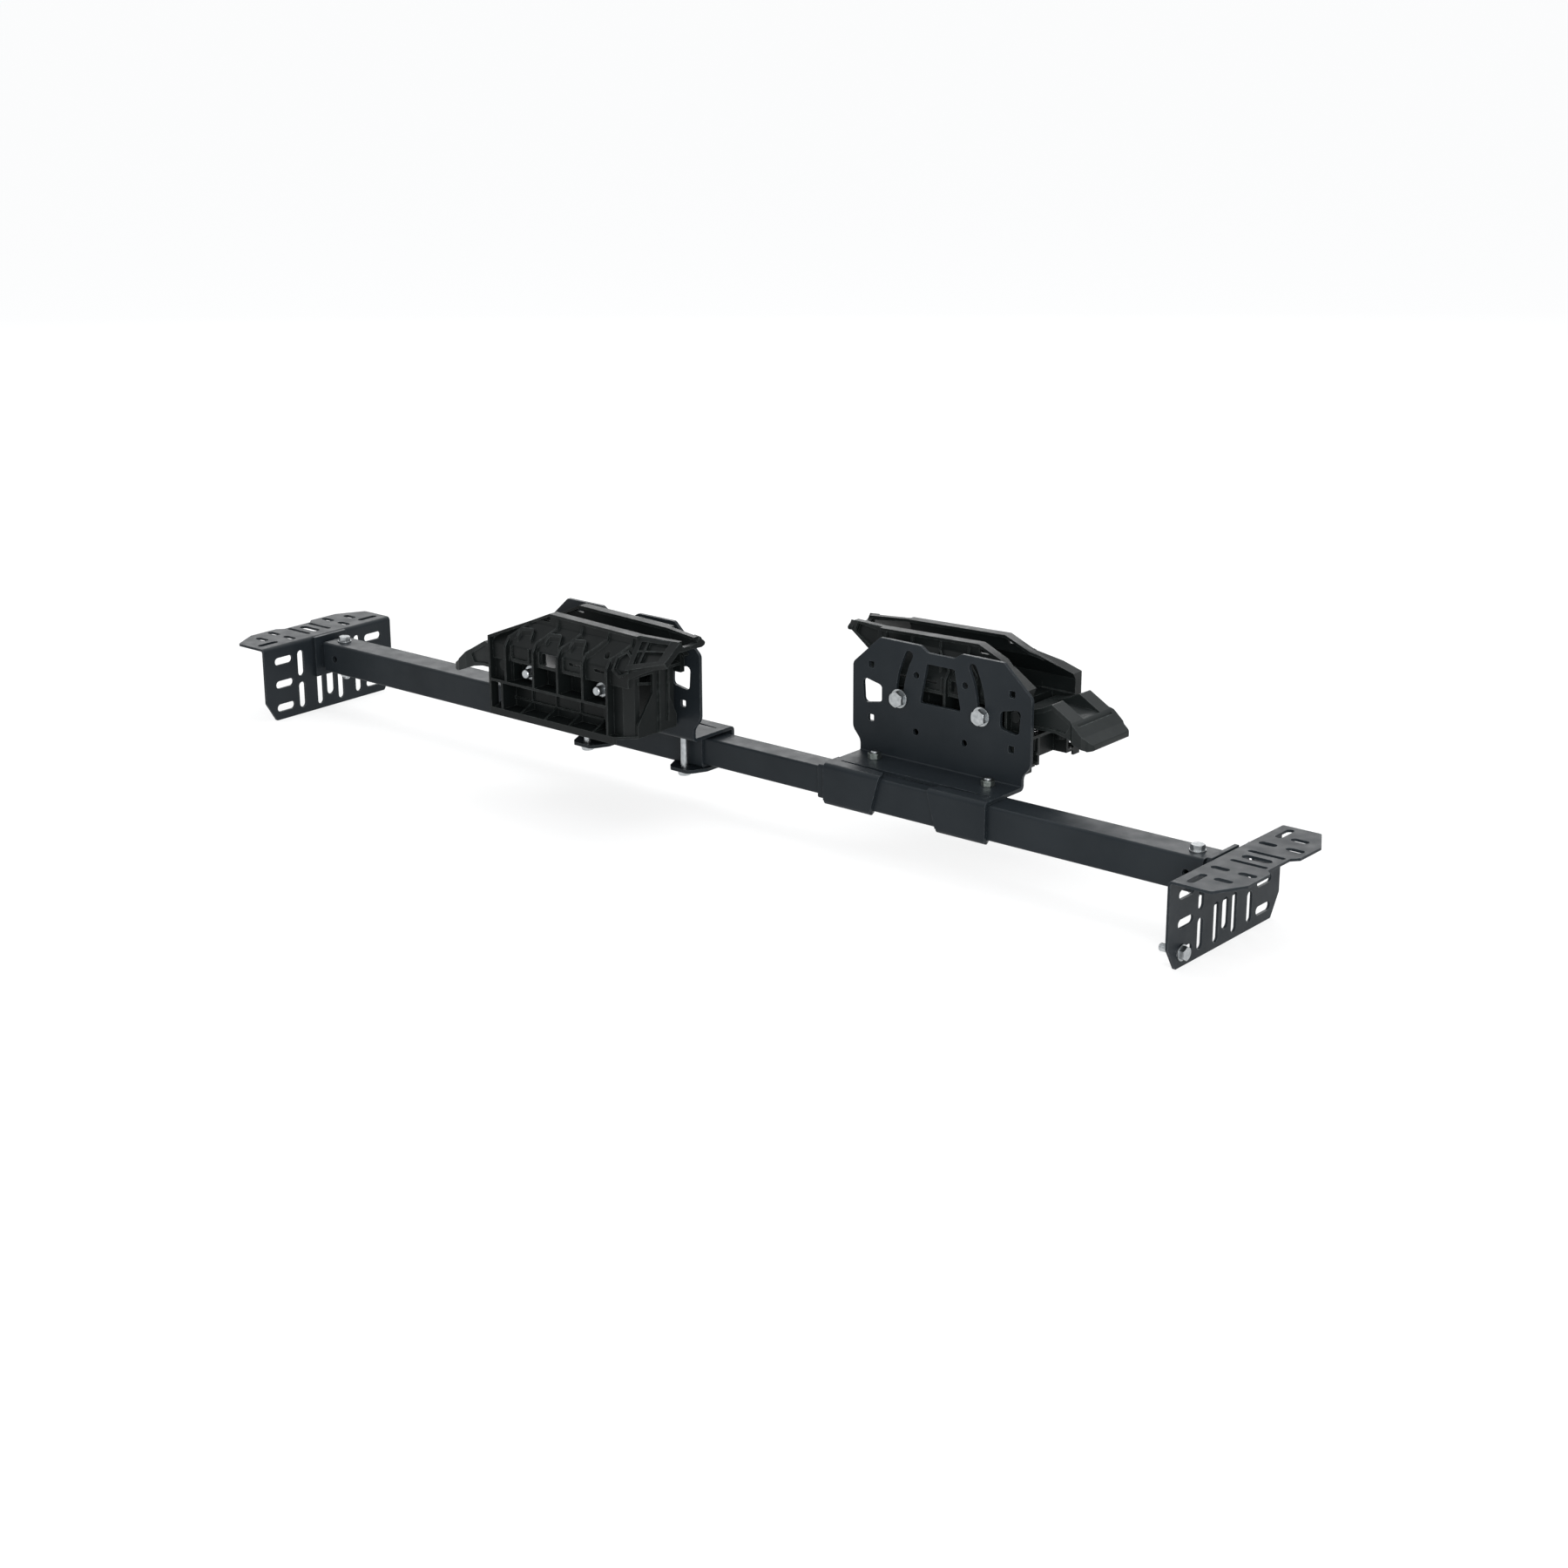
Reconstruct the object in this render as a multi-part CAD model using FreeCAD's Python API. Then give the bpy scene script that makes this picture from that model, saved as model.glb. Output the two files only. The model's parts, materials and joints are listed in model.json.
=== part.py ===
import FreeCAD, Part
import math
import os

# Telescoping square crossbar with two saddle-clamped cradles.
# Millimetres. X runs along the bar, Z is up, the lowest point is at Z = 0.

os.makedirs("parts", exist_ok=True)

V = FreeCAD.Vector

# ---- driving dimensions -------------------------------------------------
AXIS_Z = 70.0            # height of the tube axis above the lowest edge

TUBE = 38.1              # outer square tube, across the flats
TUBE_WALL = 3.05
TUBE_R = 3.0             # outside corner radius
INNER = 31.75            # inner square tube, across the flats
INNER_WALL = 2.6
INNER_R = 2.6
LEFT_TUBE_END = -7.0     # open end of the left outer tube
RIGHT_TUBE_END = 159.5   # open end of the right outer tube
TUBE_OUT = 641.0         # end of each outer tube near its bracket
INNER_LO = -260.0
INNER_HI = 420.0

PLATE_X = 654.25         # inner face of each end bracket
PLATE_T = 3.0
PLATE_HALF = 105.0       # half width of the end bracket
FLANGE_TOP = 25.0        # flange top above the tube axis
FLANGE_OUT = 66.0        # flange reach from the inner face
DOUBLER_T = 5.0
DOUBLER_HALF = 26.0
STUB_IN = 560.0          # inward end of the stub tube
END_BOLT_X = 623.0
CROSS_HOLE_X = 622.0
CROSS_HOLE_R = 4.4

SHEET = 4.0              # saddle bracket sheet
FLANGE_Z0 = 19.35        # underside of the saddle flange
TAB_Y = -23.3            # front face of the saddle tabs
EAR_Z0 = -23.4           # underside of the ears
BACK_Y = 46.0            # back face of the upright
UPRIGHT_TOP = 154.0
NOTCH_Z = 147.6
CLAMP_X = 75.0
CLAMP_Y = 26.0
RIGHT_SADDLE_X = 277.0
LEFT_SADDLE_X = -102.5

TILT_X = 54.0            # tilt bolts either side of the saddle centre
TILT_Z = 91.0
TILT_R = 5.0
SLOT_R = 5.08
TILT_DEG = 27.5

MID_Y = 96.65            # parting plane of the cradle halves
HALF_W = 50.35           # parting plane to outer face
END_X = 108.5            # latch end of the cradle
BODY_X0 = -100.0         # other end of the cradle body
LIP_X0 = -146.0
LIP_RIM = 24.6           # outer edge of the rim along the lip
LIP_T = 6.2              # thickness of the lip wall
LIP_TOP = ((26.0, 156.0), (16.5, 154.5))        # upper corner of that wall: at the body, at the tip
LIP_FOOT_FAR = ((46.5, 124.0), (40.5, 136.0))   # lower corner, larger wing
LIP_FOOT_NEAR = ((36.0, 127.5), (21.5, 146.0))  # lower corner, smaller wing
RIM_X1 = 31.0            # where the straight rim ends and the flare starts
RIM_IN = 18.0            # inner and outer edge of the flat rim
RIM_OUT = 30.0
RIM_T = 3.2
NECK_IN = 24.6           # thin wall under the rim
NECK_OUT = 28.4
NECK_Z = 146.5           # where the slanted wall turns upright
RIB_KNEE_W = 31.5
PANEL_W = 45.3           # outer panel between the ribs
TROUGH_W = 39.0
WEB_W0 = 25.35
WEB_W1 = 28.35
FLOOR_Z = 104.5
FLOOR_T = 3.0
END_FLOOR_Z = 113.5      # raised trough floor at the inner end
FLARE_X = (31.0, 62.0, 88.0, 108.5)      # stations of the sloping rim at the latch end
FLARE_IN = (18.0, 19.0, 33.5, 39.0)      # its inner and outer edge at those stations
FLARE_OUT = (30.0, 30.0, 45.5, 50.35)
FLARE_DROP = 0.425       # how fast that rim falls along the bar
BASE_Z = 45.0            # top of the ledge at the foot of each half
LEDGE_T = 3.0
SKIRT_Z = 36.8           # lower edge of the skirt round the ledge
GUSSET_X = (101.0, 61.0, 24.0, -13.0, -50.0)
BENCH_W = 37.6           # step low on the trough wall beside the lever
BENCH_X0 = 66.0
SHOULDER_Z = 118.6
MID_RIB_Z = 77.0
RIB_T = 2.8
PILLAR_W = 40.4
RIB_X = (107.1, 82.0, 39.0, 2.0, -36.0, -72.0)
POCKET_X = 80.0          # inboard wall of the latch pocket
POCKET_Z = 75.0

PIN_X = 90.0             # latch hinge
PIN_Z = 95.0
PIN_R = 3.0
PIN_END = 43.0           # half length of the pin
LEVER_Y0 = 59.5
LEVER_Y1 = 131.0
ARM_Y0 = 80.0
ARM_Y1 = 111.0
SPRING_X = 101.0
SPRING_Y = (72.5, 120.8)
SPRING_R = 3.0
WIRE_R = 0.6
SPRING_Z0 = 60.0
SPRING_Z1 = 84.0


# ---- helpers ------------------------------------------------------------
def place(axis, u, v, w):
    """Point with u, v in the plane normal to axis and w along it."""
    if axis == "X":
        return V(w, u, v)
    if axis == "Y":
        return V(u, w, v)
    return V(u, v, w)


def outline(points, axis, w):
    """Closed wire through (u, v) or (u, v, corner radius) points."""
    n = len(points)
    first = []
    last = []
    mids = []
    for i in range(n):
        p = points[i]
        a = points[i - 1]
        b = points[(i + 1) % n]
        r = p[2] if len(p) > 2 else 0.0
        if r <= 0.0:
            first.append((p[0], p[1]))
            last.append((p[0], p[1]))
            mids.append(None)
            continue
        ax, ay = a[0] - p[0], a[1] - p[1]
        bx, by = b[0] - p[0], b[1] - p[1]
        la = math.hypot(ax, ay)
        lb = math.hypot(bx, by)
        ax, ay, bx, by = ax / la, ay / la, bx / lb, by / lb
        dot = max(-1.0, min(1.0, ax * bx + ay * by))
        half = math.acos(dot) / 2.0
        t = r / math.tan(half)
        mx, my = ax + bx, ay + by
        lm = math.hypot(mx, my)
        reach = r / math.sin(half) - r
        first.append((p[0] + ax * t, p[1] + ay * t))
        last.append((p[0] + bx * t, p[1] + by * t))
        mids.append((p[0] + mx / lm * reach, p[1] + my / lm * reach))
    edges = []
    for i in range(n):
        if mids[i] is not None:
            a = place(axis, first[i][0], first[i][1], w)
            m = place(axis, mids[i][0], mids[i][1], w)
            b = place(axis, last[i][0], last[i][1], w)
            edges.append(Part.Arc(a, m, b).toShape())
        j = (i + 1) % n
        a = place(axis, last[i][0], last[i][1], w)
        b = place(axis, first[j][0], first[j][1], w)
        if a.distanceToPoint(b) > 1e-6:
            edges.append(Part.makeLine(a, b))
    return Part.Wire(edges)


def prism(points, axis, lo, hi):
    face = Part.Face(outline(points, axis, lo))
    return face.extrude(place(axis, 0, 0, hi - lo))


def box(x0, x1, y0, y1, z0, z1):
    return Part.makeBox(x1 - x0, y1 - y0, z1 - z0, V(x0, y0, z0))


def rod(axis, u, v, lo, hi, r):
    return Part.makeCylinder(r, hi - lo, place(axis, u, v, lo), place(axis, 0, 0, 1))


def rect(u0, u1, v0, v1, r=0.0):
    return [(u0, v0, r), (u1, v0, r), (u1, v1, r), (u0, v1, r)]


def obround(u, v, length, width, along, axis, lo, hi):
    """Slot with round ends; along is 'u' or 'v'."""
    du = length / 2.0 if along == "u" else width / 2.0
    dv = width / 2.0 if along == "u" else length / 2.0
    r = width / 2.0 - 0.01
    return prism(rect(u - du, u + du, v - dv, v + dv, r), axis, lo, hi)


def hexagon(axis, u, v, lo, hi, flats, crown=None):
    """Hexagon prism with its corners rounded off at one or both ends."""
    r = flats / math.sqrt(3.0)
    pts = []
    for i in range(6):
        a = math.radians(60 * i + 30)
        pts.append((u + r * math.cos(a), v + r * math.sin(a)))
    body = prism(pts, axis, lo, hi)
    h = hi - lo
    rim = flats / 2.0 * 0.98
    z = place(axis, 0, 0, 1)
    if crown in ("hi", "both"):
        cone = Part.makeCone(rim + h / math.tan(math.radians(30)), rim, h, place(axis, u, v, lo), z)
        body = body.common(cone)
    if crown in ("lo", "both"):
        cone = Part.makeCone(rim, rim + h / math.tan(math.radians(30)), h, place(axis, u, v, lo), z)
        body = body.common(cone)
    return body


def cut_all(shape, tools):
    for tool in tools:
        shape = shape.cut(tool)
    return shape


def fuse_all(shapes):
    out = shapes[0]
    for s in shapes[1:]:
        out = out.fuse(s)
    return out.removeSplitter()


def save(name, shape):
    shape = shape.copy()
    shape.exportStep("parts/%s.step" % name)
    print(name, len(shape.Solids), round(shape.Volume, 1), shape.isValid())


def lift(shape):
    out = shape.copy()
    out.translate(V(0, 0, AXIS_Z))
    return out


def turn(shape):
    """The same piece at the other end of the bar."""
    out = shape.copy()
    out.rotate(V(0, 0, 0), V(0, 0, 1), 180)
    return out


def seat(shape, side):
    """Move a piece from saddle coordinates to the bar."""
    out = shape.copy()
    if side == "left":
        out.rotate(V(0, 0, 0), V(0, 0, 1), 180)
        out.translate(V(LEFT_SADDLE_X, 0, AXIS_Z))
    else:
        out.translate(V(RIGHT_SADDLE_X, 0, AXIS_Z))
    return out


def square_tube(size, wall, radius, x0, x1):
    h = size / 2.0
    g = h - wall
    outer = prism(rect(-h, h, -h, h, radius), "X", x0, x1)
    inner = prism(rect(-g, g, -g, g, max(0.3, radius - wall)), "X", x0 - 1, x1 + 1)
    return outer.cut(inner)


def washer(axis, u, v, lo, hi, r, bore):
    ring = rod(axis, u, v, lo, hi, r)
    return ring.cut(rod(axis, u, v, lo - 1, hi + 1, bore))


def bolt(axis, u, v, seat_at, head_to, tip, r, flats):
    """Hex bolt whose head sits at seat_at and whose shank ends at tip."""
    head_lo = min(seat_at, head_to)
    head_hi = max(seat_at, head_to)
    crown = "hi" if head_to > seat_at else "lo"
    head = hexagon(axis, u, v, head_lo, head_hi, flats, crown)
    lo = min(seat_at, tip)
    hi = max(seat_at, tip)
    shank = rod(axis, u, v, lo, hi, r)
    end = 0.9
    z = place(axis, 0, 0, 1)
    if tip > seat_at:
        shank = rod(axis, u, v, lo, hi - end, r)
        point = Part.makeCone(r, r - 0.8, end, place(axis, u, v, hi - end), z)
    else:
        shank = rod(axis, u, v, lo + end, hi, r)
        point = Part.makeCone(r - 0.8, r, end, place(axis, u, v, lo), z)
    return fuse_all([head, shank, point])


def nut(axis, u, v, lo, hi, flats, bore):
    body = hexagon(axis, u, v, lo, hi, flats, "both")
    return body.cut(rod(axis, u, v, lo - 1, hi + 1, bore))


# ---- crossbar tubes -----------------------------------------------------
inner_tube = square_tube(INNER, INNER_WALL, INNER_R, INNER_LO, INNER_HI)
save("inner_tube", lift(inner_tube))

outer = {}
outer["right"] = square_tube(TUBE, TUBE_WALL, TUBE_R, RIGHT_TUBE_END, TUBE_OUT)
outer["left"] = turn(square_tube(TUBE, TUBE_WALL, TUBE_R, -LEFT_TUBE_END, TUBE_OUT))
for side in ("left", "right"):
    s = 1 if side == "right" else -1
    bore = rod("Z", s * END_BOLT_X, 0, -30, 30, 4.5)
    cross = rod("Y", s * CROSS_HOLE_X, 0, -30, 30, CROSS_HOLE_R)
    save(side + "_outer_tube", lift(cut_all(outer[side], [bore, cross])))

# ---- end bracket, doubler and stub (right end; the left is turned) ------
x0 = PLATE_X
x1 = PLATE_X + PLATE_T
xf = PLATE_X + FLANGE_OUT
section = [
    (x0, -AXIS_Z),
    (x0, FLANGE_TOP, 5.0),
    (xf, FLANGE_TOP),
    (xf, FLANGE_TOP - PLATE_T),
    (x1, FLANGE_TOP - PLATE_T, 2.0),
    (x1, -AXIS_Z),
]
end_bracket = prism(section, "Y", -PLATE_HALF, PLATE_HALF)
plan = [
    (x0 - 1, -PLATE_HALF),
    (x0 + 47, -PLATE_HALF, 4),
    (xf, -70, 4),
    (xf, -29, 2),
    (x0 + 59, -21, 2),
    (x0 + 59, 21, 2),
    (xf, 29, 2),
    (xf, 70, 4),
    (x0 + 47, PLATE_HALF, 4),
    (x0 - 1, PLATE_HALF),
]
end_bracket = end_bracket.common(prism(plan, "Z", -80, 40))
front = [
    (-PLATE_HALF, 40),
    (-PLATE_HALF, -45.5, 3),
    (-90, -AXIS_Z, 3),
    (90, -AXIS_Z, 3),
    (PLATE_HALF, -45.5, 3),
    (PLATE_HALF, 40),
]
end_bracket = end_bracket.common(prism(front, "X", x0 - 5, xf + 5))
cuts = []
px0 = x0 - 2
px1 = x1 + 2
for y in (-74.0, 74.0):
    for z in (5.0, -25.0, -55.0):
        cuts.append(obround(y, z, 28.0, 9.6, "u", "X", px0, px1))
for y in (-46.7, 46.7):
    for z in (-4.3, -45.4):
        cuts.append(obround(y, z, 33.0, 10.0, "v", "X", px0, px1))
for y in (-17.2, 17.2):
    cuts.append(obround(y, -42.5, 43.0, 9.5, "v", "X", px0, px1))
cuts.append(obround(0, -38.0, 34.0, 12.0, "v", "X", px0, px1))
fz0 = FLANGE_TOP - PLATE_T - 2
fz1 = FLANGE_TOP + 2
for y in (-1.0, 1.0):
    cuts.append(obround(x0 + 18, y * 82.5, 30.0, 8.5, "v", "Z", fz0, fz1))
    for u, w in ((20.9, 45.0), (51.0, 45.0), (40.9, 72.5)):
        cuts.append(obround(x0 + u, y * w, 20.0, 8.5, "u", "Z", fz0, fz1))
    cuts.append(obround(x0 + 35.7, y * 16.8, 41.0, 6.0, "u", "Z", fz0, fz1))
cuts.append(obround(x0 + 34.9, 0, 32.5, 11.0, "u", "Z", fz0, fz1))
end_bracket = cut_all(end_bracket, cuts)

doubler = prism(rect(-DOUBLER_HALF, DOUBLER_HALF, -DOUBLER_HALF, FLANGE_TOP, 1.0),
                "X", PLATE_X - DOUBLER_T, PLATE_X)
stub = square_tube(INNER, INNER_WALL, INNER_R, STUB_IN, PLATE_X - DOUBLER_T)
stub = stub.cut(rod("Z", END_BOLT_X, 0, -30, 30, 4.5))
stub = stub.cut(rod("Y", CROSS_HOLE_X, 0, -30, 30, CROSS_HOLE_R))

top = TUBE / 2.0
end_washer = washer("Z", END_BOLT_X, 0, top, top + 1.6, 8.5, 4.2)
end_bolt = bolt("Z", END_BOLT_X, 0, top + 1.6, top + 6.9, -top - 10.0, 4.0, 13.0)
end_nut = nut("Z", END_BOLT_X, 0, -top - 6.5, -top, 13.0, 4.05)

for side in ("left", "right"):
    for name, shape in (("end_bracket", end_bracket), ("end_doubler", doubler),
                        ("end_stub", stub), ("end_washer", end_washer),
                        ("end_bolt", end_bolt), ("end_nut", end_nut)):
        piece = turn(shape) if side == "left" else shape
        save(side + "_" + name, lift(piece))

# ---- loose mounting bolts in the right bracket --------------------------
bolts = []
washers = []
for y, z in ((-79.5, -55.0), (79.5, 5.0)):
    washers.append(washer("X", y, z, x1, x1 + 1.6, 8.5, 4.2))
    bolts.append(bolt("X", y, z, x1 + 1.6, x1 + 6.9, x1 - 24.0, 4.0, 13.0))
save("right_mounting_bolts", lift(Part.makeCompound(bolts)))
save("right_mounting_washers", lift(Part.makeCompound(washers)))

# ---- saddle bracket: one bent sheet wrapped round the tube --------------
ear_top = EAR_Z0 + SHEET
tab_back = TAB_Y + SHEET
up_front = BACK_Y - SHEET
flange_top = FLANGE_Z0 + SHEET
section = [
    (37.0, EAR_Z0),
    (TAB_Y, EAR_Z0, 5.5),
    (TAB_Y, flange_top, 5.5),
    (up_front, flange_top, 1.5),
    (up_front, UPRIGHT_TOP + 5),
    (BACK_Y, UPRIGHT_TOP + 5),
    (BACK_Y, FLANGE_Z0, 5.5),
    (tab_back, FLANGE_Z0, 1.5),
    (tab_back, ear_top, 1.5),
    (37.0, ear_top),
]
saddle = prism(section, "X", -120, 120)
right_edge = [
    (107.0, -40.0),
    (107.0, 35.0, 13),
    (117.5, 47.0, 13),
    (117.5, 121.0, 8),
    (81.0, UPRIGHT_TOP, 4),
    (27.0, UPRIGHT_TOP, 7),
    (17.3, NOTCH_Z, 7),
]
left_edge = [(-p[0],) + tuple(p[1:]) for p in reversed(right_edge)]
saddle = saddle.common(prism(right_edge + left_edge, "Y", -30, 50))
# the middle of the front is open, and relief slits free the clamping tabs
middle = [
    (-98, -4.0, 0.7), (-98, -2.0, 0.7), (98, -2.0, 0.7), (98, -4.0, 0.7),
    (37, -8.0), (32, -18), (32, -30), (-32, -30), (-32, -18), (-37, -8.0),
]
saddle = saddle.cut(prism(middle, "Z", 15, 30))
gap = [(-32, 30), (-32, 20), (-42.5, -17), (-44, -30), (44, -30), (42.5, -17), (32, 20), (32, 30)]
saddle = saddle.cut(prism(gap, "Y", -40, -10))
# ears under the tube
ears = []
for c in (-CLAMP_X, CLAMP_X):
    shape = [
        (c - 31, -30), (c - 31, -17, 3), (c - 24.5, -3, 5), (c - 24.5, 15, 5),
        (c - 17, 31, 3), (c - 12, 36, 3), (c + 12, 36, 3), (c + 17, 31, 3),
        (c + 24.5, 15, 5), (c + 24.5, -3, 5), (c + 31, -17, 3), (c + 31, -30),
    ]
    ears.append(prism(shape, "Z", -40, -16))
below = box(-125, 125, -35, 60, -35, -18.5)
saddle = saddle.cut(cut_all(below, ears))
cuts = []
for c in (-CLAMP_X, CLAMP_X):
    cuts.append(rod("Z", c, CLAMP_Y, -40, 40, 4.5))
uy0 = up_front - 2
uy1 = BACK_Y + 2
for sx in (-1, 1):
    for z in (122.0, 62.3):
        cuts.append(prism(rect(sx * 92.5 - 3.8, sx * 92.5 + 3.8, z - 3.8, z + 3.8, 1.2), "Y", uy0, uy1))
    for z in (120.5, 57.4):
        cuts.append(rod("Y", sx * 32.0, z, uy0, uy1, 3.8))
    window = [(104, 107, 5), (78, 101, 5), (77.5, 82.5, 5), (102, 78, 5)]
    if sx < 0:
        window = [(-p[0], p[1], p[2]) for p in reversed(window)]
    cuts.append(prism(window, "Y", uy0, uy1))
    # arc slot centred on the other tilt bolt
    cx = -sx * TILT_X
    reach = 2 * TILT_X
    pts = []
    for r, a in ((reach + SLOT_R, 0), (reach + SLOT_R, TILT_DEG),
                 (reach - SLOT_R, TILT_DEG), (reach - SLOT_R, 0)):
        t = math.radians(a)
        pts.append((cx + sx * r * math.cos(t), TILT_Z + r * math.sin(t)))
    mid_out = math.radians(TILT_DEG / 2.0)
    p = [V(q[0], uy0, q[1]) for q in pts]
    mo = V(cx + sx * (reach + SLOT_R) * math.cos(mid_out), uy0, TILT_Z + (reach + SLOT_R) * math.sin(mid_out))
    mi = V(cx + sx * (reach - SLOT_R) * math.cos(mid_out), uy0, TILT_Z + (reach - SLOT_R) * math.sin(mid_out))
    ring = Part.Wire([
        Part.Arc(p[0], mo, p[1]).toShape(),
        Part.makeLine(p[1], p[2]),
        Part.Arc(p[2], mi, p[3]).toShape(),
        Part.makeLine(p[3], p[0]),
    ])
    cuts.append(Part.Face(ring).extrude(V(0, uy1 - uy0, 0)))
    t = math.radians(TILT_DEG)
    cuts.append(rod("Y", cx + sx * reach, TILT_Z, uy0, uy1, SLOT_R))
    cuts.append(rod("Y", cx + sx * reach * math.cos(t), TILT_Z + reach * math.sin(t), uy0, uy1, SLOT_R))
centre = [(-27, 91, 2), (27, 91, 2), (18, 135.6, 2), (-18, 135.6, 2)]
cuts.append(prism(centre, "Y", uy0, uy1))
saddle = cut_all(saddle, cuts)

clamp_bolts = []
clamp_nuts = []
for c in (-CLAMP_X, CLAMP_X):
    clamp_bolts.append(bolt("Z", c, CLAMP_Y, EAR_Z0, EAR_Z0 - 5.3, 32.0, 4.0, 13.0))
    clamp_nuts.append(nut("Z", c, CLAMP_Y, flange_top, flange_top + 6.5, 13.0, 4.05))


# ---- cradle halves ------------------------------------------------------
# Each half is drawn in (x, w, z), w measured outwards from the parting plane.
def rim_z(x):
    return 159.5 + 0.03 * x


def loft(profile_a, xa, profile_b, xb):
    a = outline(profile_a, "X", xa)
    b = outline(profile_b, "X", xb)
    return Part.makeLoft([a, b], True, True)


def rim_section(x):
    """Flat rim on top of the thin upright part of the wall."""
    z = rim_z(x)
    return [
        (RIM_IN, z - RIM_T), (RIM_IN, z), (RIM_OUT, z), (RIM_OUT, z - RIM_T),
        (NECK_OUT, z - RIM_T), (NECK_OUT, NECK_Z - 4), (NECK_IN, NECK_Z - 4), (NECK_IN, z - RIM_T),
    ]


def flare_z(x):
    return rim_z(RIM_X1) - FLARE_DROP * (x - RIM_X1)


def flare_section(i):
    z = flare_z(FLARE_X[i])
    a = FLARE_IN[i]
    b = FLARE_OUT[i]
    return [(a, z - RIM_T), (a, z), (b, z), (b, z - RIM_T)]


def between(a, b, t):
    return (a[0] + (b[0] - a[0]) * t, a[1] + (b[1] - a[1]) * t)


def lip_strip(near, x, a, b, depth, proud):
    """Section of the lip wall at x, from share a to share b of its height."""
    t = (BODY_X0 - x) / (BODY_X0 - LIP_X0)
    high = between(LIP_TOP[0], LIP_TOP[1], t)
    foot = LIP_FOOT_NEAR if near else LIP_FOOT_FAR
    low = between(foot[0], foot[1], t)
    size = math.hypot(low[0] - high[0], low[1] - high[1])
    out_w = (high[1] - low[1]) / size
    out_z = (low[0] - high[0]) / size
    p = between(high, low, a)
    q = between(high, low, b)
    return [(p[0] - out_w * depth, p[1] - out_z * depth), (p[0] + out_w * proud, p[1] + out_z * proud),
            (q[0] + out_w * proud, q[1] + out_z * proud), (q[0] - out_w * depth, q[1] - out_z * depth)]


def lip_loft(near, xa, xb, a, b, depth, proud):
    return loft(lip_strip(near, xa, a, b, depth, proud), xa, lip_strip(near, xb, a, b, depth, proud), xb)


def upper_layer(x0, x1):
    """Room between the skin and the rib tops, from the shoulder to the rim."""
    shape = [
        (HALF_W, 104.0), (HALF_W, SHOULDER_Z, 8), (RIB_KNEE_W, NECK_Z, 4), (RIM_OUT - 0.5, 155.0),
        (NECK_IN + 1, 155.0), (NECK_IN + 1, NECK_Z - 2), (PANEL_W - 1, SHOULDER_Z - 2), (PANEL_W - 1, 104.0),
    ]
    return prism(shape, "X", x0, x1)


def upper_rib(x):
    """Rib over the shoulder, drifting along the bar as it climbs."""
    path = [(x, 52), (x, 43), (x - 8, 39.2), (x - 20.4, 31.5), (x - 23, 20)]
    half = RIB_T / 2.0
    plan = [(p[0] - half, p[1]) for p in path] + [(p[0] + half, p[1]) for p in reversed(path)]
    return upper_layer(x - 40, x + 10).common(prism(plan, "Z", 90, 160))


def lower_rib(x, low):
    shape = [
        (WEB_W1 - 1, low), (HALF_W, low), (HALF_W, SHOULDER_Z, 8), (43.0, 128.0),
        (PANEL_W - 2, SHOULDER_Z), (PANEL_W - 2, FLOOR_Z - 1), (WEB_W1 - 1, FLOOR_Z - 1),
    ]
    return prism(shape, "X", x - RIB_T / 2.0, x + RIB_T / 2.0)


def frame_ring(shape_out, shape_in):
    ring = prism(shape_out, "Z", 100, 160).cut(prism(shape_in, "Z", 95, 165))
    return upper_layer(-110, END_X).common(ring)


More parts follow.
